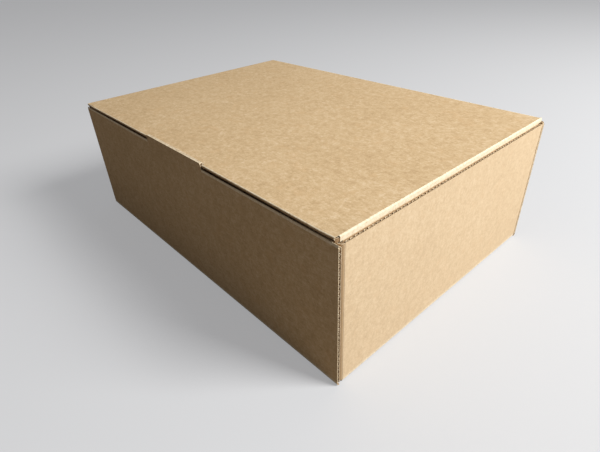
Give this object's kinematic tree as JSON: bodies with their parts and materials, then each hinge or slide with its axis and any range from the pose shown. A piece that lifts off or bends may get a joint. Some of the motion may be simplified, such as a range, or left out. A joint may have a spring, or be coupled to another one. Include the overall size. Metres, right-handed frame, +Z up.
{
  "type": "mailer box",
  "caption": "Closed corrugated kraft mailer box folded from one die-cut sheet, with a hinged lid whose flaps tuck inside the walls.",
  "frame": {"origin": "on the table under the centre of the base", "axes": "+X along the front wall, -Y out of the front wall with the tab, +Y to the hinged back, +Z up"},
  "size_m": [0.316, 0.223, 0.1054],
  "materials": {
    "kraft_board": "matte uncoated kraft liner"
  },
  "bodies": {
    "tray": {"tray": "kraft_board"},
    "lid": {"lid": "kraft_board"}
  },
  "joints": [
    {"name": "lid_hinge", "type": "hinge", "parent": "tray", "child": "lid", "pos_m": [0, 0.1115, 0.10175], "axis": [-1, 0, 0], "range_deg": [0, 175]}
  ]
}
